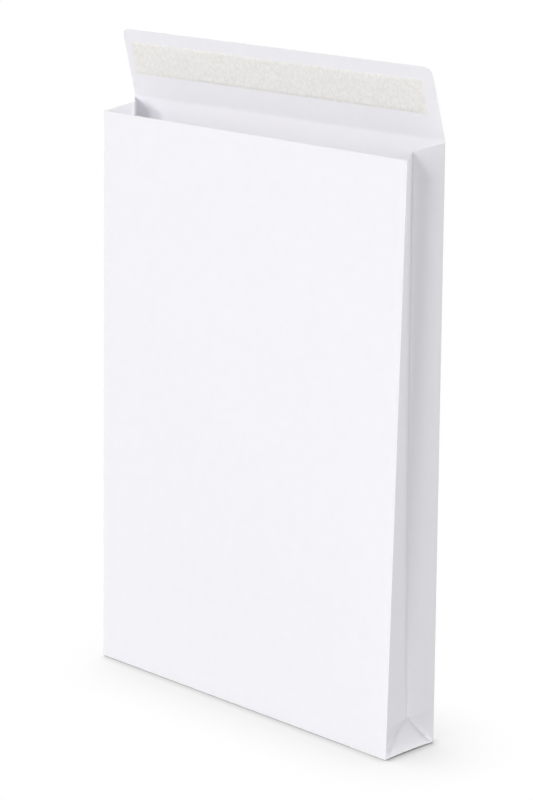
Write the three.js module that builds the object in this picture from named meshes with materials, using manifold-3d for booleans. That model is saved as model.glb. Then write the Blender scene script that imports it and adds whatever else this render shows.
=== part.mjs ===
// A large gusseted envelope, standing open on its flat base.
// One sheet of stout white paper is folded and glued into a tall pocket: a near panel, a far panel,
// two side gussets that fold inwards, a base of overlapping flaps, and a closing flap that grows
// out of the far panel. A band of adhesive on the flap is covered by a peel-off liner.
// Millimetres, +Z up. The origin is the middle of the base, on the surface the envelope stands on.
// -Y is the side of the plain near panel, and +Y that of the far panel, which carries the flap.

import * as THREE from 'three';
import { mergeVertices } from 'three/addons/utils/BufferGeometryUtils.js';
import Module from 'manifold-3d';

// The folded sheet
const width = 250; // from side fold to side fold
const height = 353; // from the base to the flap's crease
const depth = 40; // full width of a gusset, and so of the base
const paper = 0.2; // thickness of the sheet
const foldReach = 0.3; // how far a hard fold rounds the paper, each way from its corner
const valleyWidth = 0.8; // the soft inner fold of a gusset keeps this much flat
const seamLap = 15; // the gusset's tab glued behind the near panel
const seamStep = 0.3; // run of the slope at a tab's cut edge

// How the envelope stands: its mouth has closed a little, and leans back over the base
const mouthStep = 4.7; // the near panel ends this far below the crease
const mouthDepthLeft = 28.5;
const mouthDepthRight = 34.5;
const mouthLeanLeft = 5;
const mouthLeanRight = 13;
const mouthRack = 4; // the near rim has slid right by this much against the far rim

// The base: three layers of the sheet, the outermost flap reaching in from the far panel
const baseOverlap = 16; // how far the two long flaps overlap along the middle of the base
const baseEdge = 0.8; // fold left whole round the base when its lower layers step up
const basePlies = 3;

// The closing flap
const flapLength = 44.5;
const flapLean = 14; // degrees, from upright towards the near panel
const flapTaper = 1; // each side edge draws in by this much over the flap's length
const flapCorner = 5; // radius of the two free corners
const creaseLength = 2.4; // length of paper that bends in the flap's crease

// The peel-off strip
const linerWidth = 20.5;
const linerThickness = 0.08;
const adhesiveInset = 1; // the liner overhangs the adhesive all round
const adhesiveThickness = 0.1;
const stripFromEdge = 8; // from the flap's free edge down to the liner
const stripFromLeft = 6.2; // from the left side fold to the liner
const stripFromRight = 9.8;
const seatGap = 0.05; // between one layer of the strip and the next

// Worked out from the sizes above
const nearHeight = height - mouthStep;
const halfWidth = width / 2;
const halfDepth = depth / 2;
const halfPaper = paper / 2;
const baseThickness = basePlies * paper;
const baseFlapReach = halfDepth + baseOverlap / 2;
const linerLength = width - stripFromLeft - stripFromRight;
const LEFT = { sign: -1, mouthDepth: mouthDepthLeft, lean: mouthLeanLeft };
const RIGHT = { sign: 1, mouthDepth: mouthDepthRight, lean: mouthLeanRight };

const foldSteps = 4; // facets across a hard fold
const creaseSteps = 4; // facets across the flap's crease
const cornerSteps = 8; // facets round a corner of the flap
const wallLevels = 16; // sections up the pocket, above the base triangles
const triangleLevels = 3; // sections up the base triangles
const weldDistance = 1e-4; // points closer than this are one

// The folds of a section, in their order round it, and the way of each row across a gusset
const NEAR_LEFT = 0;
const NEAR_RIGHT = 1;
const FAR_RIGHT = 4;
const FAR_LEFT = 5;
const NEAR = -1;
const FAR = 1;

// Distance between the two panels, at one side and one share of the height
function panelGap(side, share) {
  return THREE.MathUtils.lerp(depth, side.mouthDepth, share);
}

// The middle of a gusset, front to back
function gussetMiddle(side, share) {
  return side.lean * share;
}

// How far the inner fold stands in from the side edges. Each half of the gusset keeps its own
// width of paper, so the fold is pushed in as the panels come together.
function valleyDepth(side, share) {
  const halfGap = panelGap(side, share) / 2;
  return Math.sqrt(Math.max(halfDepth ** 2 - halfGap ** 2, 0));
}

// The base triangle of a gusset keeps its height of paper, and tips in with the inner fold
function apexOf(side) {
  const inset = valleyDepth(side, halfDepth / height);
  const rise = Math.sqrt(halfDepth ** 2 - inset ** 2);
  return { inset, rise };
}

// One fold's place at one level: across is its row over the gusset, from NEAR to FAR
function foldPlace(side, level, across, inset) {
  const top = THREE.MathUtils.lerp(nearHeight, height, (across - NEAR) / (FAR - NEAR));
  return new THREE.Vector3(
    side.sign * (halfWidth - inset) - across * mouthRack / 2 * level,
    gussetMiddle(side, level) + across * panelGap(side, level) / 2,
    level * top,
  );
}

// One of the two inner folds of a gusset. They run side by side down to the apex of the base
// triangle, and from there slant out to the corners of the base.
function innerFold(side, level, way) {
  const apex = apexOf(side);
  const climb = Math.min(level * height / apex.rise, 1);
  const inset = climb < 1 ? apex.inset * climb : valleyDepth(side, level);
  const halfGap = panelGap(side, level) / 2;
  const halfFlat = THREE.MathUtils.lerp(halfGap - valleyWidth, valleyWidth / 2, climb);
  return foldPlace(side, level, way * halfFlat / halfGap, inset);
}

// One section of the pocket: its eight folds, anticlockwise from the near left one
function foldCorners(level) {
  return [
    foldPlace(LEFT, level, NEAR, 0),
    foldPlace(RIGHT, level, NEAR, 0),
    innerFold(RIGHT, level, NEAR),
    innerFold(RIGHT, level, FAR),
    foldPlace(RIGHT, level, FAR, 0),
    foldPlace(LEFT, level, FAR, 0),
    innerFold(LEFT, level, FAR),
    innerFold(LEFT, level, NEAR),
  ];
}

// Points across one hard fold, each with the sheet's outward direction there
function foldPoints(before, at, after) {
  const into = at.clone().sub(before).setZ(0).normalize();
  const out = after.clone().sub(at).setZ(0).normalize();
  const curve = new THREE.QuadraticBezierCurve3(
    at.clone().addScaledVector(into, -foldReach),
    at.clone(),
    at.clone().addScaledVector(out, foldReach),
  );
  const points = [];
  for (let i = 0; i <= foldSteps; i++) {
    const share = i / foldSteps;
    const along = into.clone().lerp(out, share).normalize();
    points.push({ at: curve.getPoint(share), outward: new THREE.Vector3(along.y, -along.x, 0) });
  }
  return points;
}

// The whole section at one level, as the middle line of the sheet. plies says how many
// thicknesses of paper stand inside that line: the glued tabs double the near panel's edges.
function section(level) {
  const corners = foldCorners(level);
  const points = [];
  corners.forEach((at, i) => {
    const before = corners.at(i - 1);
    const after = corners[(i + 1) % corners.length];
    const fold = foldPoints(before, at, after);
    fold.forEach((point, k) => {
      const share = k / foldSteps;
      point.fold = i;
      point.plies = 0;
      if (i === NEAR_LEFT) point.plies = share;
      if (i === NEAR_RIGHT) point.plies = 1 - share;
    });
    points.push(...fold);
    if (i === NEAR_LEFT) points.push(...seamTabs(at, after, fold.at(-1).outward));
  });
  return points;
}

// The near panel between its two folds: the cut edges of the glued tabs
function seamTabs(left, right, outward) {
  const span = left.distanceTo(right);
  const stops = [
    [seamLap, 1],
    [seamLap + seamStep, 0],
    [span - seamLap - seamStep, 0],
    [span - seamLap, 1],
  ];
  return stops.map(([distance, plies]) => ({
    at: left.clone().lerp(right, distance / span),
    outward,
    plies,
  }));
}

const outerSkin = (points) => points.map((p) => p.at.clone().addScaledVector(p.outward, halfPaper));

const innerSkin = (points) =>
  points.map((p) => p.at.clone().addScaledVector(p.outward, -halfPaper - p.plies * paper));

// A closed body built up from rings of points and the strips of facets between them
class Body {
  positions = [];

  triangle(a, b, c) {
    for (const p of [a, b, c]) this.positions.push(p.x, p.y, p.z);
  }

  quad(a, b, c, d) {
    this.triangle(a, b, c);
    this.triangle(a, c, d);
  }

  // Facets between two rings of like points, facing out of the ring
  strip(lower, upper, open = -1) {
    lower.forEach((point, i) => {
      const next = (i + 1) % lower.length;
      if (i !== open) this.quad(point, lower[next], upper[next], upper[i]);
    });
  }

  // The same facets facing in. They are split along the same diagonals, so that the two skins
  // of a twisted panel stay one thickness of paper apart.
  lining(lower, upper) {
    lower.forEach((point, i) => {
      const next = (i + 1) % lower.length;
      this.triangle(point, upper[next], lower[next]);
      this.triangle(point, upper[i], upper[next]);
    });
  }

  // A flat end over a ring
  cap(ring, up) {
    const flat = ring.map((p) => new THREE.Vector2(p.x, p.y));
    for (const [a, b, c] of THREE.ShapeUtils.triangulateShape(flat, [])) {
      if (up) this.triangle(ring[a], ring[b], ring[c]);
      else this.triangle(ring[a], ring[c], ring[b]);
    }
  }

  geometry() {
    const soup = new THREE.BufferGeometry();
    soup.setAttribute('position', new THREE.Float32BufferAttribute(this.positions, 3));
    return soup;
  }
}

// Shares of the height at which the pocket gets a section
function sectionLevels() {
  const apexLevel = halfDepth / height;
  const levels = [];
  for (let i = 1; i <= triangleLevels; i++) levels.push(apexLevel * i / triangleLevels);
  for (let i = 1; i <= wallLevels; i++) {
    levels.push(THREE.MathUtils.lerp(apexLevel, 1, i / wallLevels));
  }
  return levels;
}

// The two ends of the flap's crease, and the direction from left to right along it
function creaseLine() {
  const corners = foldCorners(1);
  const right = corners[FAR_RIGHT];
  const left = corners[FAR_LEFT];
  const along = right.clone().sub(left).normalize();
  return { left, right, along };
}

// Up a sheet that leans towards the near panel by that angle, and out of its far face
function upPaper(along, lean) {
  const back = new THREE.Vector3(-along.y, along.x, 0).normalize();
  const angle = THREE.MathUtils.degToRad(lean);
  const up = new THREE.Vector3(0, 0, Math.cos(angle)).addScaledVector(back, -Math.sin(angle));
  const outward = back.multiplyScalar(Math.cos(angle));
  outward.z = Math.sin(angle);
  return { up, outward };
}

// How far the flap's side edge stands in, at a distance up from the crease
function flapInset(distance) {
  const taper = flapTaper * distance / flapLength;
  const past = distance - (flapLength - flapCorner);
  const corner = past > 0 ? flapCorner - Math.sqrt(Math.max(flapCorner ** 2 - past ** 2, 0)) : 0;
  return taper + corner;
}

// Distances up the straight part of the flap that get a row of points: the rounded corners
function cornerDistances() {
  const distances = [];
  for (let i = 0; i <= cornerSteps; i++) {
    const angle = Math.PI / 2 * i / cornerSteps;
    distances.push(flapLength - flapCorner + flapCorner * Math.sin(angle));
  }
  return distances;
}

// The far panel's own lean at one side, seen along the crease
function panelLean(side) {
  const back = gussetMiddle(side, 1) + side.mouthDepth / 2 - halfDepth;
  return -THREE.MathUtils.radToDeg(Math.atan2(back, height));
}

// One end of the flap, as stations up the paper: the crease bends it from the far panel's own
// lean to the flap's, and from there it is straight
function flapEnd(side, fold, along) {
  const at = fold.clone();
  const stations = [];
  const bendStep = creaseLength / creaseSteps;
  for (let i = 1; i <= creaseSteps; i++) {
    const lean = THREE.MathUtils.lerp(panelLean(side), flapLean, (i - 0.5) / creaseSteps);
    const { up, outward } = upPaper(along, lean);
    at.addScaledVector(up, bendStep);
    stations.push({ at: at.clone(), outward, distance: i * bendStep });
  }
  const { up, outward } = upPaper(along, flapLean);
  const origin = at.clone().addScaledVector(up, -creaseLength);
  for (const distance of cornerDistances()) {
    stations.push({ at: origin.clone().addScaledVector(up, distance), outward, distance });
  }
  return { stations, origin };
}

// Rows of the flap: far face right and left, then near face left and right
function flapRows(rim) {
  const { left, right, along } = creaseLine();
  const rightEnd = flapEnd(RIGHT, right, along);
  const leftEnd = flapEnd(LEFT, left, along);
  const face = (station, inwards, offset) => station.at.clone()
    .addScaledVector(along, inwards * (foldReach + flapInset(station.distance)))
    .addScaledVector(station.outward, offset);
  const rows = rightEnd.stations.map((station, i) => [
    face(station, -1, halfPaper),
    face(leftEnd.stations[i], 1, halfPaper),
    face(leftEnd.stations[i], 1, -halfPaper),
    face(station, -1, -halfPaper),
  ]);
  return [rim, ...rows];
}

// The pocket and its flap as one closed sheet body
function foldedSheet() {
  const body = new Body();
  const sections = sectionLevels().map(section);
  const foot = section(0);
  const outer = [outerSkin(foot), ...sections.map(outerSkin)];
  const inner = [innerSkin(foot), ...sections.map(innerSkin)];

  // The lowest fold is rounded: the sheet touches down a little inside the walls
  const touch = foot.map((p) => p.at.clone().addScaledVector(p.outward, halfPaper - foldReach));
  const edge = outer[0].map((p) => p.clone().setZ(foldReach));
  const outerRings = [touch, edge, ...outer.slice(1)];
  const innerRings = [inner[0].map((p) => p.clone().setZ(baseThickness)), ...inner.slice(1)];

  for (let i = 1; i < outerRings.length; i++) body.strip(outerRings[i - 1], outerRings[i]);
  for (let i = 1; i < innerRings.length; i++) body.lining(innerRings[i - 1], innerRings[i]);
  body.cap(outerRings[0], false);
  body.cap(innerRings[0], true);

  // The rim joins the two skins, except along the crease, where the flap carries on
  const farRight = foot.findLastIndex((point) => point.fold === FAR_RIGHT);
  const outerRim = outerRings.at(-1);
  const innerRim = innerRings.at(-1);
  body.strip(outerRim, innerRim, farRight);
  const rows = flapRows([
    outerRim[farRight],
    outerRim[farRight + 1],
    innerRim[farRight + 1],
    innerRim[farRight],
  ]);
  for (let i = 1; i < rows.length; i++) body.strip(rows[i - 1], rows[i]);
  const [a, b, c, d] = rows.at(-1);
  body.quad(a, b, c, d);
  return body.geometry();
}

// A block from below the base up into it, from an outline in x and y, that cuts a layer's step
function baseCutter(points, plies) {
  const outline = new THREE.Shape(points.map(([x, y]) => new THREE.Vector2(x, y)));
  const block = new THREE.ExtrudeGeometry(outline, {
    depth: baseThickness + plies * paper,
    bevelEnabled: false,
  });
  return block.translate(0, 0, -baseThickness);
}

// Where the base's lower layers stop: one ply up in front of the outermost flap, and two plies up
// at each end, where only the gusset's own fold shows between the slanted ends of the flaps
function baseCutters() {
  const side = halfWidth - baseEdge;
  const near = -halfDepth + baseEdge;
  const far = halfDepth - baseEdge;
  const outerFree = halfDepth - baseFlapReach;
  const slant = (y) => Math.min(far - y, y - near);
  const nearFlap = [
    [-side, near],
    [side, near],
    [side - slant(outerFree), outerFree],
    [-side + slant(outerFree), outerFree],
  ];
  const endTriangle = (sign) => [
    [sign * side, near],
    [sign * side, far],
    [sign * (side - (far - near) / 2), (near + far) / 2],
  ];
  return [
    baseCutter(nearFlap, 1),
    baseCutter(endTriangle(-1), 2),
    baseCutter(endTriangle(1), 2),
  ];
}

const wasm = await Module();
wasm.setup();

function toSolid(geometry) {
  const bare = geometry.clone();
  bare.deleteAttribute('normal');
  bare.deleteAttribute('uv');
  const merged = mergeVertices(bare, weldDistance);
  return new wasm.Manifold(new wasm.Mesh({
    numProp: 3,
    vertProperties: new Float32Array(merged.attributes.position.array),
    triVerts: new Uint32Array(merged.index.array),
  }));
}

function toGeometry(solid) {
  const mesh = solid.getMesh();
  const geometry = new THREE.BufferGeometry();
  geometry.setAttribute('position', new THREE.BufferAttribute(mesh.vertProperties, 3));
  geometry.setIndex(new THREE.BufferAttribute(mesh.triVerts, 1));
  geometry.computeVertexNormals();
  return geometry;
}

function blank() {
  let solid = toSolid(foldedSheet());
  for (const cutter of baseCutters()) solid = solid.subtract(toSolid(cutter));
  const material = new THREE.MeshStandardMaterial({
    color: 0xf4f4f7,
    roughness: 0.85,
    metalness: 0,
  });
  const mesh = new THREE.Mesh(toGeometry(solid), material);
  mesh.name = 'paper_blank';
  return mesh;
}

// The two layers of the strip share one middle line, measured on the flap
const stripMiddle = flapLength - stripFromEdge - linerWidth / 2;
const stripCentre = -halfWidth + stripFromLeft + linerLength / 2;

function adhesiveBand() {
  const size = [
    linerLength - 2 * adhesiveInset,
    linerWidth - 2 * adhesiveInset,
    adhesiveThickness,
  ];
  const material = new THREE.MeshStandardMaterial({
    color: 0xe3dccb,
    roughness: 0.35,
    metalness: 0,
  });
  const mesh = new THREE.Mesh(new THREE.BoxGeometry(...size), material);
  mesh.name = 'adhesive_band';
  mesh.position.set(stripCentre, stripMiddle, halfPaper + seatGap + adhesiveThickness / 2);
  return mesh;
}

function releaseLiner() {
  const material = new THREE.MeshStandardMaterial({
    color: 0xe6e5e3,
    roughness: 0.55,
    metalness: 0,
  });
  const mesh = new THREE.Mesh(
    new THREE.BoxGeometry(linerLength, linerWidth, linerThickness),
    material,
  );
  mesh.name = 'release_liner';
  const stand = halfPaper + 2 * seatGap + adhesiveThickness + linerThickness / 2;
  mesh.position.set(stripCentre, stripMiddle, stand);
  return mesh;
}

// A frame on the flap: x along the crease from its middle, y up the paper, z out of the near face
function flapFrame() {
  const { left, right, along } = creaseLine();
  const leftOrigin = flapEnd(LEFT, left, along).origin;
  const rightOrigin = flapEnd(RIGHT, right, along).origin;
  const across = rightOrigin.clone().sub(leftOrigin).normalize();
  const up = upPaper(along, flapLean).up;
  up.addScaledVector(across, -up.dot(across)).normalize();
  const near = across.clone().cross(up);
  const frame = new THREE.Group();
  frame.quaternion.setFromRotationMatrix(new THREE.Matrix4().makeBasis(across, up, near));
  frame.position.copy(leftOrigin).add(rightOrigin).multiplyScalar(0.5);
  return frame;
}

const closure = flapFrame();
closure.name = 'closure';
closure.add(adhesiveBand());
closure.add(releaseLiner());

const envelope = new THREE.Group();
envelope.name = 'gusseted_envelope';
envelope.add(blank());
envelope.add(closure);

export default envelope;
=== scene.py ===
# %% [markdown]
# # A gusseted envelope in white paper
# A gusseted envelope is one die-cut sheet, folded and glued. Its two large panels are joined by
# side gussets that fold inwards, so that it lies flat when empty and stands on a base when open.
# This script folds that sheet in Blender around the fixed part, gives it a paper finish, adds the
# peel-off strip on the closing flap, and lights it as a product on a white floor.

import math

import bmesh
import bpy
from mathutils import Matrix, Vector, noise


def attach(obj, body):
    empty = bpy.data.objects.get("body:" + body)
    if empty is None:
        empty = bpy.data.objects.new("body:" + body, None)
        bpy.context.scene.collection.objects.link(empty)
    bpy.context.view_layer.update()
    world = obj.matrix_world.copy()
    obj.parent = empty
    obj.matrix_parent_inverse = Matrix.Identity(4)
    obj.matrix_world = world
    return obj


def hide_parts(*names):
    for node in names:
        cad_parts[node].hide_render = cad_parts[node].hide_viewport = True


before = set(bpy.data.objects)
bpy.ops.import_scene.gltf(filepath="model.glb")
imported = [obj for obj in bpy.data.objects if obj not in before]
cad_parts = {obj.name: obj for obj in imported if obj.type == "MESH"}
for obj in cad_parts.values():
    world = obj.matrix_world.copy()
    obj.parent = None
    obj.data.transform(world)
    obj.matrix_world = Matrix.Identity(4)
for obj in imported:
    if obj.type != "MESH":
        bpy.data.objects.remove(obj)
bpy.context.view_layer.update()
print("fixed part:", sorted(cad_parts))

# %% [markdown]
# ## Sizes
# The sheet is drawn from the few sizes that an envelope maker would give: the closed format, the
# width of a gusset, the thickness of the paper. Every place in the script is worked out from them.
# How far the mouth has sagged is measured on the object. All values are in metres.

# %% Sizes of the folded sheet
MM = 0.001
WIDTH = 250 * MM
HEIGHT = 353 * MM  # from the base to the crease of the flap
DEPTH = 40 * MM  # width of a gusset, and so of the base
PAPER = 0.2 * MM
FOLD_REACH = 0.3 * MM  # how far a hard fold rounds the paper, each way
VALLEY = 0.8 * MM  # the soft inner fold of a gusset keeps this much flat
TAB = 15 * MM  # the gusset's tab glued behind the near panel

MOUTH_STEP = 4.7 * MM  # the near panel ends this far below the crease
MOUTH_RACK = 4 * MM  # the near rim has slid right by this much against the far rim
# The sagged mouth: gap between the rims, lean of the gusset's middle to the far side, and how far
# the inner fold ends above a straight line between the rims
LEFT = {"sign": -1, "mouth": 28.5 * MM, "lean": 5 * MM, "rise": 3 * MM}
RIGHT = {"sign": 1, "mouth": 34.5 * MM, "lean": 13 * MM, "rise": -1.2 * MM}

print(f"closed format {WIDTH / MM:.0f} x {HEIGHT / MM:.0f} mm, gusset {DEPTH / MM:.0f} mm")

# %% [markdown]
# ## How paper turns a fold
# A fold is never a knife edge: the sheet leaves the straight a little before the fold and joins the
# next straight a little after it. `ramp` is the distance past a fold with that easing, a parabola
# between two straights. A point on a folded strip is then its start, plus the first direction times
# the distance, plus the change of direction times the ramp of the distance past the fold.

# %% A ramp for every fold
def lerp(a, b, share):
    return a + (b - a) * share


def ramp(past, reach):
    if past <= -reach:
        return 0.0
    if past >= reach:
        return past
    return (past + reach) ** 2 / (4 * reach)


print("ramp past a fold:", [round(ramp(past, 1.0), 2) for past in (-1, -0.5, 0, 0.5, 1)])

# %% [markdown]
# ## The eight folds of one section
# Cut level, the pocket is a ring of eight folds: four outer corners, and two inner folds in each
# gusset that lie side by side as one soft valley. Each half of a gusset keeps its own width of
# paper, so as the two panels come together the valley moves in by what Pythagoras leaves. Near the
# base the valley forks into two slanted folds that run to the corners of the base.

# %% Folds of a section
FOOT_NEAR = 1.5 * PAPER  # the middle of the sheet above the floor: the second layer of three
FOOT_SIDE = 2.5 * PAPER
FOOT_FAR = 0.5 * PAPER
SAG = 1.6 * MM  # the slanted folds draw in by this much halfway, as hard creases do


def half_gap(side, level):
    return lerp(DEPTH, side["mouth"], level) / 2


def valley_depth(side, level):
    return math.sqrt(max((DEPTH / 2) ** 2 - half_gap(side, level) ** 2, 0))


def apex(side):
    inset = valley_depth(side, DEPTH / 2 / HEIGHT)
    return inset, math.sqrt((DEPTH / 2) ** 2 - inset**2)


def fold_place(side, level, across, inset, foot):
    """One fold at a level from 0 to 1. Across runs over the gusset, from -1 near to 1 far."""
    x = side["sign"] * (WIDTH / 2 - inset) - across * MOUTH_RACK / 2 * level
    y = side["lean"] * level + across * half_gap(side, level)
    top = HEIGHT - MOUTH_STEP * (1 - across) / 2 + side["rise"] * (1 - abs(across))
    return Vector((x, y, lerp(foot, top, level)))


def inner_fold(side, level, way):
    apex_inset, apex_rise = apex(side)
    climb = min(level * HEIGHT / apex_rise, 1)
    inset = apex_inset * climb if climb < 1 else valley_depth(side, level)
    inset += SAG * 4 * climb * (1 - climb)
    half = half_gap(side, level)
    across = way * lerp(half - VALLEY, VALLEY / 2, climb) / half
    return fold_place(side, level, across, inset, FOOT_SIDE)


def section(level):
    return [
        fold_place(LEFT, level, -1, 0, FOOT_NEAR),
        fold_place(RIGHT, level, -1, 0, FOOT_NEAR),
        inner_fold(RIGHT, level, -1),
        inner_fold(RIGHT, level, 1),
        fold_place(RIGHT, level, 1, 0, FOOT_FAR),
        fold_place(LEFT, level, 1, 0, FOOT_FAR),
        inner_fold(LEFT, level, 1),
        inner_fold(LEFT, level, -1),
    ]


# Each panel of the ring goes by the number of the fold that it starts from
(NEAR_PANEL, RIGHT_NEAR_HALF, RIGHT_END, RIGHT_FAR_HALF,
 FAR_PANEL, LEFT_FAR_HALF, LEFT_END, LEFT_NEAR_HALF) = range(8)
print("mouth, mm:", [tuple(round(c / MM, 1) for c in at) for at in section(1)])

# %% [markdown]
# ## Columns of the blank
# The flat blank is a grid. Its columns crowd together at the folds, where the paper bends, and
# spread out over the panels. A column is kept as its panel, a share of that panel and a number of
# fold reaches, so that it follows a slanted fold as well as an upright one.

# %% Columns
PANEL_COLUMNS = [28, 14, 10, 14, 28, 14, 10, 14]  # between the folds, panel by panel
BEND_STOPS = [0, 1 / 3, 2 / 3]  # in a fold, as shares of its reach


def panel_columns(panel, count):
    before = [(panel, 0, stop) for stop in BEND_STOPS]
    between = [(panel, i / count, 1 - 2 * i / count) for i in range(count + 1)]
    after = [(panel, 1, -stop) for stop in reversed(BEND_STOPS[1:])]
    return before + between + after


COLUMNS = [c for panel, count in enumerate(PANEL_COLUMNS) for c in panel_columns(panel, count)]
COLUMNS.append((len(PANEL_COLUMNS) - 1, 1, 0))
print(len(COLUMNS), "columns round the pocket")

# %% [markdown]
# ## Rows of the blank
# Rows crowd at the base fold, at the tips of the base triangles, at the crease and round the
# corners of the flap. Each row is kept as its distance up the sheet from the base fold.

# %% Rows
BASE_FLAP = 28 * MM  # how far each long base flap reaches in
BASE_REACH = 0.5 * MM  # the folds round the base are a little softer
APEX = DEPTH / 2  # height of the tips of the base triangles
TIP = 2 * MM  # the rows are closer together by this much below and above them
FLAP = 44.5 * MM
FLAP_CORNER = 5 * MM
CORNER_ROWS = 10
CREASE = 2.4 * MM  # length of paper that bends in the crease


def span(start, end, count):
    return [lerp(start, end, i / count) for i in range(count)]


def corner_row(share):
    return HEIGHT + FLAP - FLAP_CORNER * (1 - math.sin(math.pi / 2 * share))


# The last number of each span is how many rows it has
POCKET_ROWS = (
    span(-BASE_REACH, BASE_REACH, 6)
    + span(BASE_REACH, APEX - TIP, 8)
    + span(APEX - TIP, APEX + TIP, 10)
    + span(APEX + TIP, HEIGHT, 60)
)
BASE_ROWS = span(-BASE_FLAP, -BASE_REACH, 7)
FLAP_ROWS = (
    span(HEIGHT, HEIGHT + CREASE, 6)
    + span(HEIGHT + CREASE, HEIGHT + FLAP - FLAP_CORNER, 8)
    + [corner_row(i / CORNER_ROWS) for i in range(CORNER_ROWS + 1)]
)
ROWS = BASE_ROWS + POCKET_ROWS + FLAP_ROWS
print(len(ROWS), "rows from the base flaps to the edge of the closing flap")

# %% [markdown]
# ## A place on the ring
# A level and a column give one point of the pocket's walls. The folds at both ends of the column's
# panel are found for that level, the column's distance is laid off between them, and the two ramps
# round the sheet into the panels on either side.

# %% A point of the ring
def around(level, column):
    """A point of the ring, the way out there, its share of the panel, and the panel's length."""
    panel, share, bends = column
    folds = section(level)
    start, end = folds[panel], folds[(panel + 1) % len(folds)]
    length = (end - start).length
    along = (end - start) / length
    before = (start - folds[panel - 1]).normalized()
    after = (folds[(panel + 2) % len(folds)] - end).normalized()
    distance = share * length + bends * FOLD_REACH
    at = start + along * distance
    at += (along - before) * (ramp(distance, FOLD_REACH) - distance)
    at += (after - along) * ramp(distance - length, FOLD_REACH)
    return at, Vector((along.y, -along.x, 0)).normalized(), distance / length, length


# %% [markdown]
# ## Panels that are not dead flat
# Paper that has been folded and opened again is never dead flat. Each large panel bows out a little
# between its folds, and a slow noise adds the unevenness of a real sheet. Both fade out at the
# folds, which hold the sheet straight. Stored flat, the envelope has its base folded up against
# the far panel, and opening it leaves a shallow groove there, as high as the base triangles.

# %% Panels that are not dead flat
BOW = 0.4 * MM
UNEVEN = 0.5 * MM
UNEVEN_SCALE = 11.0  # bumps in a metre
BOW_ENDS = 1.03  # above 1, the bow fades out a little short of the rim
BOW_BLUNT = 0.5  # a power below 1 makes the bow nearly even over the height
GROOVE = 0.12 * MM
GROOVE_WIDTH = 9 * MM
GROOVE_SHARP = 3  # a power above 1 makes the groove narrow at its bottom


def wave(at, share, level):
    over_height = math.sin(math.pi * min(level * BOW_ENDS, 1)) ** BOW_BLUNT
    held = math.sin(math.pi * share) * over_height
    return held * (BOW + UNEVEN * noise.noise(at * UNEVEN_SCALE))


def groove(v):
    past = max(1 - abs(v - APEX) / GROOVE_WIDTH, 0)
    return -GROOVE * past**GROOVE_SHARP


print(f"bow {BOW / MM:.2f} mm, unevenness {UNEVEN / MM:.2f} mm, groove {GROOVE / MM:.2f} mm")

# %% [markdown]
# ## What the hard folds do beside them
# The inner creases are pressed hard from the outside, and the paper beside them is drawn into the
# pocket a little. That dip is deepest along the slanted folds near the base, and it is why the
# triangle stands out so clearly. The fold along each short end of the base is free between its
# corners and stands up off the floor there, by half a millimetre.

# %% Place a point of the walls
PINCH = 2.3 * MM  # how far the paper beside a hard inner crease is drawn in
PINCH_STARTS = 2 * MM  # height over which the dip grows up from the base
PINCH_WIDTH = 3.4 * MM  # over which the dip has faded to a third
SOFTER = 0.3  # above the triangle the inner fold is a softer one, so its dip is this much smaller
# Panels whose first fold, or whose last one, is an inner fold
STARTS_INSIDE = (RIGHT_END, RIGHT_FAR_HALF, LEFT_END, LEFT_NEAR_HALF)
ENDS_INSIDE = (RIGHT_NEAR_HALF, RIGHT_END, LEFT_FAR_HALF, LEFT_END)


def pinch(panel, distance, length, v):
    """How far the paper beside an inner fold is drawn into the pocket by the crease."""
    starts, ends = panel in STARTS_INSIDE, panel in ENDS_INSIDE
    if not (starts or ends):
        return 0.0
    to_start = max(distance, 0) if starts else math.inf
    to_end = max(length - distance, 0) if ends else math.inf
    nearest = min(to_start, to_end)
    held = 1 if starts and ends else max(1 - nearest / length, 0)
    size = lerp(1, SOFTER, min(v / APEX, 1)) * min(v / PINCH_STARTS, 1)
    return PINCH * held * size * math.exp(-nearest / (PINCH_WIDTH * max(size, SOFTER)))


LIFT = 0.5 * MM  # the fold along each short end of the base rises halfway between its corners


def lift(column, share, v):
    """How far a short end stands up off the floor, most at its fold and nothing 20 mm from it."""
    if column[0] not in (LEFT_END, RIGHT_END):
        return 0.0
    return LIFT * math.sin(math.pi * min(max(share, 0), 1)) * max(1 - abs(v) / APEX, 0)


def wall_point(column, v):
    at, outward, share, length = around(v / HEIGHT, column)
    at.z += lift(column, share, v)
    at -= outward * pinch(column[0], share * length, length, v)
    if column[0] in (NEAR_PANEL, FAR_PANEL):
        at += outward * wave(at, share, v / HEIGHT)
    if column[0] == FAR_PANEL:
        at += outward * groove(v)
    return at


tip = wall_point((RIGHT_END, 0.5, 0), APEX)
print("triangle's tip, mm:", tuple(round(c / MM, 1) for c in tip))

# %% [markdown]
# ## The base
# Below the walls the sheet turns in under the envelope: the two short ends first, then the near
# flap over them, and last the far flap, which lies outermost, on the floor. Their ends are mitred
# at 45 degrees by the folds in the corners. The near fold therefore stands one thickness of paper
# off the floor, and the side folds two and a little more. That is the dark line under an envelope
# that stands.

# %% Place a point of the base
END_FLAP = 20 * MM  # how far each short end reaches in
END_TUCK = 0.8  # its sides draw in a little less than the mitres, so that they lie hidden


def base_point(column, v):
    panel = column[0]
    at, outward, share, _ = around(0, column)
    at -= outward * ramp(-v, BASE_REACH)
    at.z += ramp(v, BASE_REACH) + lift(column, share, v)
    depth = max(-v, 0)
    if panel in (NEAR_PANEL, FAR_PANEL):
        at.x *= 1 - depth / (WIDTH / 2)
    elif panel in (LEFT_END, RIGHT_END):
        at.x += math.copysign(depth * (1 - END_FLAP / BASE_FLAP), at.x)
        at.y *= 1 - END_TUCK * depth / BASE_FLAP
    return at


# %% [markdown]
# ## The closing flap
# The flap grows out of the far panel. Over a few millimetres of soft crease it turns from the far
# panel's own lean to its own, towards the near panel. Its sides draw in a little, and its two free
# corners are rounded. `on_flap` gives any point on the middle of its sheet, or at a stand off it
# towards the near side, where the strip lies.

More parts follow.
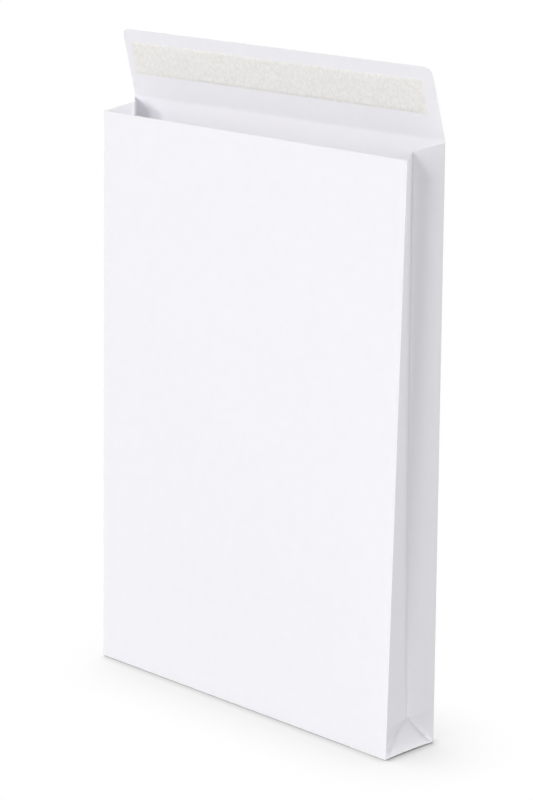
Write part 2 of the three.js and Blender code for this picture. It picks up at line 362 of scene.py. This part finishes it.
# %% Place a point of the flap
FLAP_LEAN = math.radians(14)
FLAP_TAPER = 1 * MM


def panel_lean(side):
    back = side["lean"] + (side["mouth"] - DEPTH) / 2
    return -math.atan2(back, HEIGHT)


def crease():
    folds = section(1)
    right, left = folds[FAR_PANEL], folds[FAR_PANEL + 1]
    along = (right - left).normalized()
    return left, right, Vector((-along.y, along.x, 0)).normalized()


CREASE_LEFT, CREASE_RIGHT, CREASE_BACK = crease()


def up_paper(lean):
    return Vector((0, 0, math.cos(lean))) - CREASE_BACK * math.sin(lean)


FLAP_NEAR = -CREASE_BACK * math.cos(FLAP_LEAN) - Vector((0, 0, math.sin(FLAP_LEAN)))


def on_flap(across, up, stand=0.0):
    """A point of the flap: across from its left end, up from the crease, stand off its middle."""
    share = across / WIDTH
    first = up_paper(lerp(panel_lean(LEFT), panel_lean(RIGHT), share))
    then = up_paper(FLAP_LEAN)
    at = CREASE_LEFT.lerp(CREASE_RIGHT, share)
    return at + first * up + (then - first) * ramp(up - CREASE / 2, CREASE / 2) + FLAP_NEAR * stand


def flap_inset(up):
    past = max(up - (FLAP - FLAP_CORNER), 0)
    rounding = FLAP_CORNER - math.sqrt(max(FLAP_CORNER**2 - past**2, 0))
    return FLAP_TAPER * up / FLAP + rounding


def flap_point(column, v):
    _, share, bends = column
    half = WIDTH / 2
    from_middle = half - share * WIDTH - bends * FOLD_REACH
    up = v - HEIGHT
    return on_flap(half + from_middle * (half - flap_inset(up)) / half, up)


print("crease, mm:", [tuple(round(c / MM, 1) for c in at) for at in (CREASE_LEFT, CREASE_RIGHT)])

# %% [markdown]
# ## Fold the blank
# The blank starts as a plain grid. What the die cuts away is deleted while the grid is still flat:
# everything above the rim except the flap, and the slits between the base flaps. Then each point
# moves to its folded place, and the last column is merged with the first. Folding a flat grid keeps
# the mesh in neat rows, which a sheet modelled in its final shape would not have.

# %% Fold the blank
def flat_grid(columns, rows):
    """A grid with a whole number of its own at each point, from 0 in both directions."""
    sheet = bmesh.new()
    size = (columns - 1, rows - 1)
    place = Matrix.Translation((size[0] / 2, size[1] / 2, 0)) @ Matrix.Diagonal((*size, 1, 1))
    bmesh.ops.create_grid(sheet, x_segments=size[0], y_segments=size[1], size=0.5, matrix=place)
    return sheet


def fold(sheet, columns, rows, place):
    for vert in sheet.verts:
        vert.co = place(columns[round(vert.co.x)], rows[round(vert.co.y)])


def is_waste(face):
    middle = face.calc_center_median()
    panel, share, bends = COLUMNS[int(middle.x)]
    v = ROWS[int(middle.y)]
    if v >= HEIGHT:
        beside_fold = (share == 0 and bends < 1) or share == 1
        return panel != FAR_PANEL or beside_fold
    halves_of_gussets = panel % 2 == 1
    return v < -BASE_REACH and halves_of_gussets


def blank_point(column, v):
    if v > HEIGHT:
        return flap_point(column, v)
    return base_point(column, v) if v < BASE_REACH else wall_point(column, v)


MERGE = 0.001 * MM  # points this close together are the same one


def folded_blank():
    sheet = flat_grid(len(COLUMNS), len(ROWS))
    waste = [face for face in sheet.faces if is_waste(face)]
    bmesh.ops.delete(sheet, geom=waste, context="FACES")
    fold(sheet, COLUMNS, ROWS, blank_point)
    bmesh.ops.remove_doubles(sheet, verts=sheet.verts, dist=MERGE)
    return sheet


blank = folded_blank()
open_edges = sum(edge.is_boundary for edge in blank.edges)
print("folded blank:", len(blank.faces), "faces,", open_edges, "open edges")

# %% [markdown]
# ## The glued tabs
# The gussets end in tabs that are glued behind the near panel. From outside nothing shows. Looking
# into the mouth, the near panel's rim is two sheets thick at both ends, with a fine step where a
# tab stops. Each tab is a narrow grid of its own that follows the near panel one sheet further in.

# %% Add the tabs
TAB_COLUMNS = 10
TAB_STARTS = 2 * MM  # just above the base fold
TAB_BEHIND = 1.02 * PAPER  # from the middle of the near panel to the middle of the tab
TAB_ROWS = [v for v in POCKET_ROWS if v > TAB_STARTS] + [HEIGHT]


def tab_column(share, count):
    """The same column from the left fold, for a share of 0, or from the right fold, for 1."""
    reaches = lerp(1, TAB / FOLD_REACH, count / (TAB_COLUMNS - 1))
    return NEAR_PANEL, share, reaches if share == 0 else -reaches


def tab_point(column, v):
    _, outward, _, _ = around(v / HEIGHT, column)
    return wall_point(column, v) - outward * TAB_BEHIND


def add_tabs(blank):
    for share in (0, 1):
        columns = sorted(
            (tab_column(share, count) for count in range(TAB_COLUMNS)), key=lambda column: column[2]
        )
        tab = flat_grid(TAB_COLUMNS, len(TAB_ROWS))
        fold(tab, columns, TAB_ROWS, tab_point)
        carried = bpy.data.meshes.new("tab")
        tab.to_mesh(carried)
        tab.free()
        blank.from_mesh(carried)
        bpy.data.meshes.remove(carried)


add_tabs(blank)
print("with tabs:", len(blank.faces), "faces")

# %% [markdown]
# ## Thickness
# A Solidify modifier gives the sheet its thickness, half to each side, and it is applied, so that
# only the cut edges of the paper are marked sharp. The folds stay smooth, which is what tells the
# eye that they are folds and not joints.

# %% Turn a sheet into an object
CUT_EDGE_ANGLE = math.radians(40)


def paper_object(name, sheet, thickness):
    mesh = bpy.data.meshes.new(name)
    sheet.to_mesh(mesh)
    sheet.free()
    made = bpy.data.objects.new(name, mesh)
    bpy.context.scene.collection.objects.link(made)
    solid = made.modifiers.new("thickness", "SOLIDIFY")
    solid.thickness = thickness
    solid.offset = 0
    thick = made.evaluated_get(bpy.context.evaluated_depsgraph_get())
    made.data = bpy.data.meshes.new_from_object(thick)
    made.modifiers.clear()
    made.data.shade_smooth()
    made.data.set_sharp_from_angle(angle=CUT_EDGE_ANGLE)
    print(name, len(made.data.polygons), "faces")
    return made


def stands_for(piece, node, material):
    piece.data.materials.append(material)
    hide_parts(node)
    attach(piece, "root")


# %% [markdown]
# ## Node helpers
# Every finish below is a small tree of shader nodes. A few helpers keep the trees short: they add a
# node with its values, link two nodes, and make the three things that finishes here share, which
# are a noise in the object's own space, two near tones that it mixes, and a fine relief.

# %% Node helpers
def add(tree, kind, values=None, **settings):
    node = tree.nodes.new(kind)
    for name, value in settings.items():
        setattr(node, name, value)
    for name, value in (values or {}).items():
        node.inputs[name].default_value = value
    return node


def link(tree, source, output, target, name):
    tree.links.new(source.outputs[output], target.inputs[name])


def new_material(name):
    material = bpy.data.materials.new(name)
    material.use_nodes = True
    return material, material.node_tree, material.node_tree.nodes["Principled BSDF"]


def grain(tree, place, stretch, scale, detail):
    """A noise on the object's own coordinates; scale is in bumps in a metre."""
    spread = add(tree, "ShaderNodeMapping", {"Scale": stretch})
    speckle = add(tree, "ShaderNodeTexNoise", {"Scale": scale, "Detail": detail})
    link(tree, place, "Object", spread, "Vector")
    link(tree, spread, "Vector", speckle, "Vector")
    return speckle


def two_tones(tree, speckle, shader, dark, light, spread):
    """Colours the shader from a noise. The spread is the part of the noise's range that counts."""
    tint = add(tree, "ShaderNodeValToRGB")
    for element, tone, side in zip(tint.color_ramp.elements, (dark, light), (-1, 1)):
        element.position = 0.5 + side * spread / 2
        element.color = (*tone, 1)
    link(tree, speckle, "Fac", tint, "Fac")
    link(tree, tint, "Color", shader, "Base Color")


def relief(tree, height, output, shader, strength, distance):
    bump = add(tree, "ShaderNodeBump", {"Strength": strength, "Distance": distance})
    link(tree, height, output, bump, "Height")
    link(tree, bump, "Normal", shader, "Normal")


# %% [markdown]
# ## White paper
# Stout white envelope paper is matt. Held to the light it is faintly cloudy, because the fibres
# settle unevenly, and its surface has a fine felted grain with fibres mostly along the web. The
# cloudiness is a slow noise that shifts the white by about one per cent. The grain is a fine
# noise and a stretched one, as bump only, so that the paper stays clean.

# %% White paper
PAPER_DARK = (0.924, 0.916, 0.951)
PAPER_LIGHT = (0.936, 0.928, 0.963)
PAPER_SHEEN = 0.25  # half of what a plastic would have
PAPER_ROUGHNESS = {"To Min": 0.72, "To Max": 0.86}
PAPER_RELIEF = (0.35, 0.02 * MM)  # strength and depth
EVEN = (1, 1, 1)
UPRIGHT = (1, 1, 0.18)  # fibres are drawn out along the web, which runs upwards here
# Bumps in a metre, and detail
CLOUDS = (160, 4)
FELT = (1500, 3)
FIBRES = (900, 2)
CLOUD_SPREAD = 0.4


def white_paper():
    material, tree, shader = new_material("white paper")
    shader.inputs["Specular IOR Level"].default_value = PAPER_SHEEN
    place = add(tree, "ShaderNodeTexCoord")

    cloud = grain(tree, place, EVEN, *CLOUDS)
    two_tones(tree, cloud, shader, PAPER_DARK, PAPER_LIGHT, CLOUD_SPREAD)
    matt = add(tree, "ShaderNodeMapRange", PAPER_ROUGHNESS)
    link(tree, cloud, "Fac", matt, "Value")
    link(tree, matt, "Result", shader, "Roughness")

    felt = grain(tree, place, EVEN, *FELT)
    fibres = grain(tree, place, UPRIGHT, *FIBRES)
    both = add(tree, "ShaderNodeMath", operation="ADD")
    link(tree, felt, "Fac", both, 0)
    link(tree, fibres, "Fac", both, 1)
    relief(tree, both, "Value", shader, *PAPER_RELIEF)
    return material


envelope = paper_object("folded_paper", blank, PAPER)
stands_for(envelope, "paper_blank", white_paper())

# %% [markdown]
# ## The peel-off strip
# A band of tacky adhesive lies on the flap, and a liner of thin glassine paper covers it until the
# envelope is closed. The liner overhangs the adhesive all round, and its edges are pressed down to
# the flap, so that it has the form of a very flat cushion. That slope is why its upper edge catches
# the light and its lower edge has a thin shade. Both are grids laid on the flap.

# %% Lay a band on the flap
LINER_WIDTH = 20.5 * MM
STRIP_FROM_EDGE = 8 * MM  # from the flap's free edge down to the liner
STRIP_FROM_LEFT = 6.2 * MM
STRIP_FROM_RIGHT = 9.8 * MM
ADHESIVE_INSET = 1 * MM
ADHESIVE = 0.1 * MM
ADHESIVE_GAP = 0.03 * MM  # keeps its faces off the flap's
LINER = 0.08 * MM


def band(inset, columns, rows, stand):
    """A grid on the flap inside the liner's outline, its stand found from the way to each edge."""
    left, right = STRIP_FROM_LEFT + inset, WIDTH - STRIP_FROM_RIGHT - inset
    top = FLAP - STRIP_FROM_EDGE - inset
    bottom = FLAP - STRIP_FROM_EDGE - LINER_WIDTH + inset
    across = [lerp(left, right, i / columns) for i in range(columns + 1)]
    up = [lerp(bottom, top, i / rows) for i in range(rows + 1)]

    def place(x, y):
        return on_flap(x, y, stand(x - left, right - x, y - bottom, top - y))

    sheet = flat_grid(len(across), len(up))
    fold(sheet, across, up, place)
    return sheet


def adhesive_stand(*_):
    return PAPER / 2 + ADHESIVE_GAP + ADHESIVE / 2


PRESSED = 1.4 * MM  # width of the edge that is pressed down
EDGE_STAND = PAPER / 2 + 0.07 * MM
CUSHION = 0.2 * MM
PUCKER = 0.06 * MM  # how far the liner is uneven
PUCKER_SCALE = 90  # bumps in a metre


def liner_stand(*to_edges):
    nearest = min(min(to_edges) / PRESSED, 1)
    rise = CUSHION * nearest**2 * (3 - 2 * nearest)
    at = Vector((to_edges[0], to_edges[2], 0))
    return EDGE_STAND + rise + nearest * PUCKER * noise.noise(at * PUCKER_SCALE)


liner_length = WIDTH - STRIP_FROM_LEFT - STRIP_FROM_RIGHT
print(f"liner {liner_length / MM:.0f} x {LINER_WIDTH / MM:.1f} mm")

# %% [markdown]
# ## Glassine and adhesive
# The liner is unbleached glassine, greyer and yellower than the paper, smoother, and flecked where
# its fibres are pressed clear. The flecks are drawn out a little upwards. The adhesive beneath is a
# yellowish, slightly glossy film, and no part of it shows while the liner is on.

# %% Glassine and adhesive
GLASSINE_DARK = (0.855, 0.842, 0.812)
GLASSINE_LIGHT = (0.945, 0.934, 0.908)
GLASSINE_ROUGHNESS = 0.5
GLASSINE_RELIEF = (0.4, 0.03 * MM)
FLECKS = (580, 5)
FLECK_STRETCH = (1, 1, 0.75)
FLECK_SPREAD = 0.32
ADHESIVE_DARK = (0.72, 0.66, 0.55)
ADHESIVE_LIGHT = (0.82, 0.77, 0.66)
ADHESIVE_ROUGHNESS = 0.3
FLOW = (260, 3)
WHOLE_RANGE = 1


def glassine():
    material, tree, shader = new_material("glassine liner")
    shader.inputs["Roughness"].default_value = GLASSINE_ROUGHNESS
    place = add(tree, "ShaderNodeTexCoord")
    flecks = grain(tree, place, FLECK_STRETCH, *FLECKS)
    two_tones(tree, flecks, shader, GLASSINE_DARK, GLASSINE_LIGHT, FLECK_SPREAD)
    relief(tree, flecks, "Fac", shader, *GLASSINE_RELIEF)
    return material


def tacky_adhesive():
    material, tree, shader = new_material("adhesive")
    shader.inputs["Roughness"].default_value = ADHESIVE_ROUGHNESS
    place = add(tree, "ShaderNodeTexCoord")
    flow = grain(tree, place, EVEN, *FLOW)
    two_tones(tree, flow, shader, ADHESIVE_DARK, ADHESIVE_LIGHT, WHOLE_RANGE)
    return material


# The two numbers are the columns and rows of each grid
adhesive = paper_object("adhesive_layer", band(ADHESIVE_INSET, 60, 6, adhesive_stand), ADHESIVE)
stands_for(adhesive, "adhesive_band", tacky_adhesive())
liner = paper_object("peel_off_liner", band(0, 300, 34, liner_stand), LINER)
stands_for(liner, "release_liner", glassine())

# %% [markdown]
# ## The light
# The envelope stands in soft light from all sides, with a narrower key lamp near the camera that
# models the gusset's folds. Each lamp is a wide-angle sun, because a sun lights a tall object as
# evenly at its top as at its foot, which a near area lamp would not. Their strengths were fitted
# to how bright the near panel, the flap, the mouth and the gusset's halves are beside each other.

# %% Lamps
scene = bpy.context.scene
scene.view_settings.view_transform = "Standard"

# Degrees round from the near panel's side to the right, degrees up from the floor, the width that
# the lamp fills in degrees, and its strength
LAMPS = {
    "key": (14, 28, 14, 0.82),
    "front left": (-20, 26, 20, 0.85),
    "front low": (0, 8, 28, 0.42),
    "front right": (64, 24, 28, 0.92),
    "back": (160, 20, 28, 0.8),
    "back high": (180, 50, 28, 1.4),
    "left": (262, 20, 28, 0.4),
    "top": (0, 86, 28, 0.3),
}


def lamp(name, turn, height, width, strength):
    data = bpy.data.lights.new(name, "SUN")
    data.angle = math.radians(width)
    data.energy = strength
    made = bpy.data.objects.new(name, data)
    round_the_object = Matrix.Rotation(math.radians(turn), 3, "Z")
    up_from_the_floor = Matrix.Rotation(math.radians(90 - height), 3, "X")
    made.rotation_euler = (round_the_object @ up_from_the_floor).to_euler()
    scene.collection.objects.link(made)


for name, placed in LAMPS.items():
    lamp(name, *placed)
print(len(LAMPS), "lamps:", ", ".join(LAMPS))

# %% [markdown]
# ## White surroundings
# The world gives almost no light of its own, and looks pure white to the camera. It is told apart
# by the kind of ray: what the camera sees directly, in a gloss or through something clear is
# white, and all other rays find the faint light.

# %% World
ROOM_LIGHT = 0.02
WHITE = (1, 1, 1, 1)


def seen_directly(tree):
    """1 for what the camera sees, also in a gloss or through something clear, and 0 for light."""
    path = add(tree, "ShaderNodeLightPath")
    first = add(tree, "ShaderNodeMath", operation="MAXIMUM")
    second = add(tree, "ShaderNodeMath", operation="MAXIMUM")
    link(tree, path, "Is Camera Ray", first, 0)
    link(tree, path, "Is Glossy Ray", first, 1)
    link(tree, first, "Value", second, 0)
    link(tree, path, "Is Transmission Ray", second, 1)
    return second


def show_instead(tree, lights, shows, output):
    """The surface or world gives light as `lights` does, but looks as `shows` does."""
    either = add(tree, "ShaderNodeMixShader")
    link(tree, seen_directly(tree), "Value", either, 0)
    link(tree, lights, 0, either, 1)
    link(tree, shows, 0, either, 2)
    link(tree, either, 0, output, "Surface")


def white_room():
    world = bpy.data.worlds.new("white room")
    scene.world = world
    world.use_nodes = True
    tree = world.node_tree
    faint = tree.nodes["Background"]
    faint.inputs["Color"].default_value = WHITE
    faint.inputs["Strength"].default_value = ROOM_LIGHT
    seen = add(tree, "ShaderNodeBackground", {"Color": WHITE, "Strength": 1.0})
    show_instead(tree, faint, seen, tree.nodes["World Output"])


white_room()
print("light of the room:", ROOM_LIGHT)

# %% [markdown]
# ## The floor and the shade on it
# The floor reflects light onto the paper as a grey card would, and what the camera sees of it is
# white, less the shade that the object casts. That shade is how much of the sky over each point
# of the floor is hidden: a wide soft one, and a close one that draws the dark line under the
# folds. It is measured towards a sky that is tilted to the left, so that it falls to the right.

# %% Floor
FLOOR_HALF = 6  # metres from its middle to its edge
FLOOR_BELOW = 0.05 * MM  # keeps it off the base's own face
FLOOR_LIGHT = (0.45, 0.45, 0.45, 1)
SKY = {"X": -0.45, "Y": -0.1, "Z": 0.88}
# How far each shade reaches, how much of the white it takes at its deepest, and its falloff
WIDE_SHADE = (60 * MM, 0.4, 1.3)
CLOSE_SHADE = (6.5 * MM, 0.75, 1.25)


def shade(tree, reach, deepest, falloff):
    """How much of the floor's white is left where the object stands over it, within a reach."""
    sky = add(tree, "ShaderNodeCombineXYZ", SKY)
    open_sky = add(tree, "ShaderNodeAmbientOcclusion", {"Distance": reach}, samples=16)
    link(tree, sky, "Vector", open_sky, "Normal")
    hidden = add(tree, "ShaderNodeMath", {0: 1.0}, operation="SUBTRACT")
    curved = add(tree, "ShaderNodeMath", {1: falloff}, operation="POWER")
    left = add(tree, "ShaderNodeMath", {1: -deepest, 2: 1.0}, operation="MULTIPLY_ADD")
    link(tree, open_sky, "AO", hidden, 1)
    link(tree, hidden, "Value", curved, 0)
    link(tree, curved, "Value", left, 0)
    return left


def floor_finish():
    material, tree, shader = new_material("white floor")
    shader.inputs["Base Color"].default_value = FLOOR_LIGHT
    both = add(tree, "ShaderNodeMath", operation="MULTIPLY")
    link(tree, shade(tree, *WIDE_SHADE), "Value", both, 0)
    link(tree, shade(tree, *CLOSE_SHADE), "Value", both, 1)
    white = add(tree, "ShaderNodeEmission", {"Color": WHITE})
    link(tree, both, "Value", white, "Strength")
    show_instead(tree, shader, white, tree.nodes["Material Output"])
    return material


def floor():
    sheet = bmesh.new()
    below = Matrix.Translation((0, 0, -FLOOR_BELOW))
    bmesh.ops.create_grid(sheet, x_segments=1, y_segments=1, size=FLOOR_HALF, matrix=below)
    mesh = bpy.data.meshes.new("floor")
    sheet.to_mesh(mesh)
    sheet.free()
    made = bpy.data.objects.new("floor", mesh)
    scene.collection.objects.link(made)
    made.data.materials.append(floor_finish())


floor()
print("floor:", 2 * FLOOR_HALF, "m square")

# %% [markdown]
# ## The camera
# Its place and lens were solved from the object's own straight edges and corners, with the closed
# format known: a long lens from the front right, about 1.7 metres away, looking slightly down and
# turned by less than a degree.

# %% Camera
CAMERA_AT = Vector((1.22404, -1.146603, 0.641137))
CAMERA_AIM = Vector((0.001673, 0.005596, 0.187008))
CAMERA_ROLL = math.radians(-0.698)
CAMERA_LENS = 131.774  # mm


def camera():
    data = bpy.data.cameras.new("camera")
    data.lens = CAMERA_LENS
    made = bpy.data.objects.new("camera", data)
    made.location = CAMERA_AT
    look = (CAMERA_AIM - CAMERA_AT).to_track_quat("-Z", "Y").to_matrix()
    made.rotation_euler = (look @ Matrix.Rotation(CAMERA_ROLL, 3, "Z")).to_euler()
    scene.collection.objects.link(made)
    scene.camera = made


camera()
print(f"camera {(CAMERA_AIM - CAMERA_AT).length:.2f} m from the envelope")
